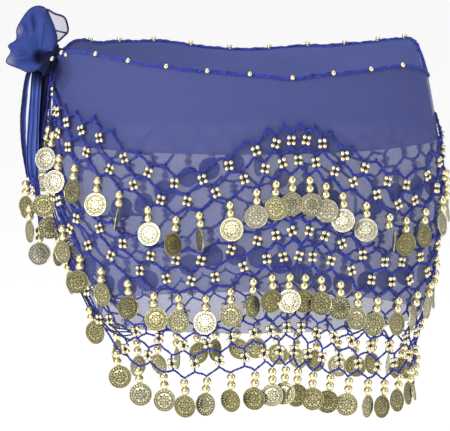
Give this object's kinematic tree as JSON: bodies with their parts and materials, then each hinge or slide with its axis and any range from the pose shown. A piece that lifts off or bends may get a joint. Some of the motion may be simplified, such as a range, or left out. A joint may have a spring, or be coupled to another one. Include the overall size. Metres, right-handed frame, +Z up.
{
  "type": "belly dance hip scarf",
  "caption": "Worn chiffon hip scarf knotted at one side, with waves of crochet net, bead flowers and rows of hanging coins.",
  "frame": {"origin": "centre of the waist opening, level with the middle of the front rim, where the wearer's waist holds the scarf", "axes": "+X to the viewer's right, away from the knot; -Y is the front; +Z up, out of the waist opening"},
  "size_m": [0.3943, 0.2449, 0.3588],
  "materials": {
    "chiffon": "sheer royal blue chiffon, plain weave with a soft sheen",
    "doubled_chiffon": "the same chiffon laid double, almost opaque",
    "crochet": "fuzzy twisted royal blue crochet yarn",
    "coins": "pale antique gold plate on embossed coins and round beads"
  },
  "bodies": {
    "root": {"front_panel": "chiffon", "back_panel": "chiffon", "yoke_front": "doubled_chiffon", "yoke_back": "doubled_chiffon", "rim_cord_front": "crochet", "rim_cord_back": "crochet", "net_front_upper": "crochet", "net_front_middle": "crochet", "net_front_lower": "crochet", "net_back_upper": "crochet", "net_back_middle": "crochet", "net_back_lower": "crochet", "coins_front_upper": "coins", "coins_front_middle": "coins", "coins_front_lower": "coins", "coins_back_upper": "coins", "coins_back_middle": "coins", "coins_back_lower": "coins", "knot": "chiffon", "bow": "chiffon", "side_loop": "chiffon", "tail": "chiffon", "tail_slim": "chiffon", "coins_tail": "coins"}
  },
  "joints": []
}
